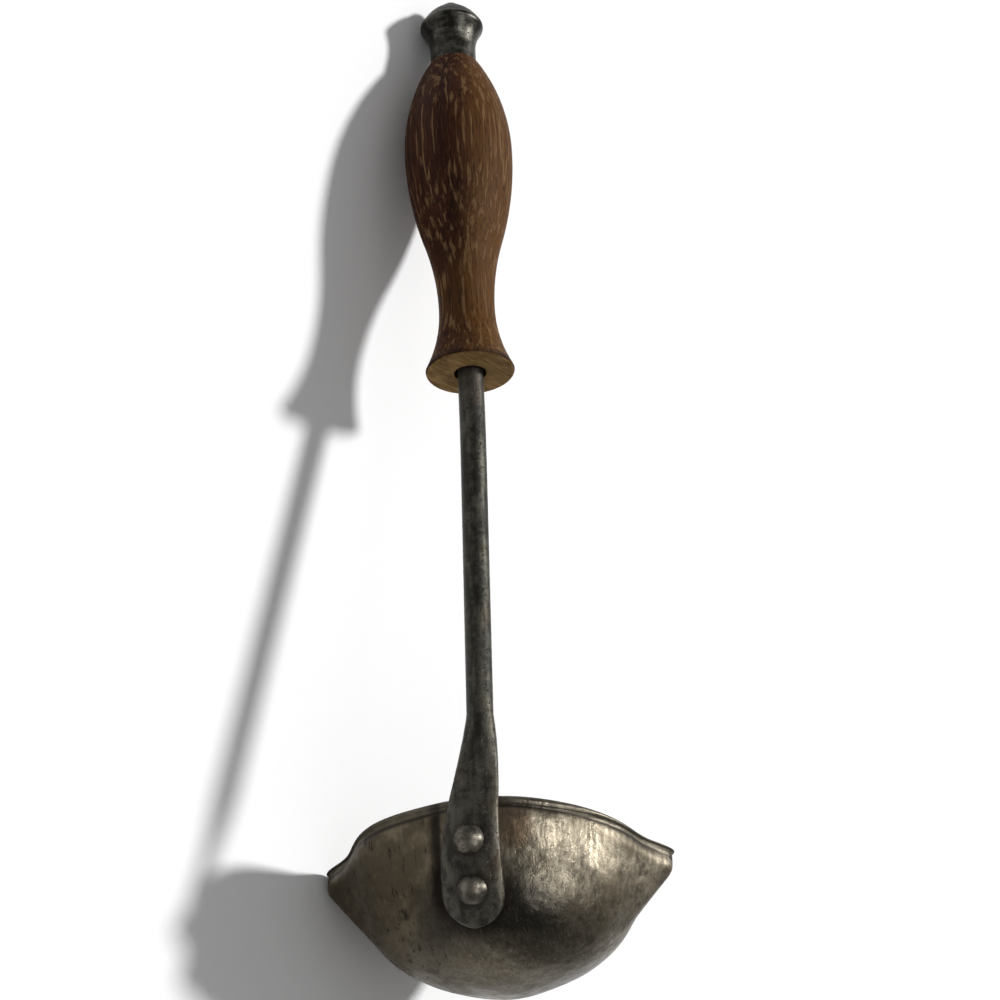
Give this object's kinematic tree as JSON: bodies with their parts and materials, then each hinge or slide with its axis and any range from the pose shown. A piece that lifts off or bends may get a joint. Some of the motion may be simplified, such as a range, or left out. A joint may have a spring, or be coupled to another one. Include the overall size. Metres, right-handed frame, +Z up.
{
  "type": "pouring ladle",
  "caption": "Two-lipped pressed-steel pouring ladle with a riveted forged shank, a turned wooden grip and a steel end cap.",
  "frame": {"origin": "middle of the ladle's outline seen from above, on the floor it lies on", "axes": "+Z up, +X from the end cap towards the bowl, with the ladle lying on its side as it comes to rest"},
  "size_m": [0.3004, 0.0832, 0.0785],
  "materials": {
    "bowl_steel": "satin",
    "shank_steel": "matte",
    "rivet_steel": "satin",
    "grip_wood": "satin",
    "cap_steel": "satin"
  },
  "bodies": {
    "root": {"bowl": "bowl_steel", "shank": "shank_steel", "upper_rivet": "rivet_steel", "lower_rivet": "rivet_steel", "grip": "grip_wood", "end_cap": "cap_steel"}
  },
  "joints": []
}
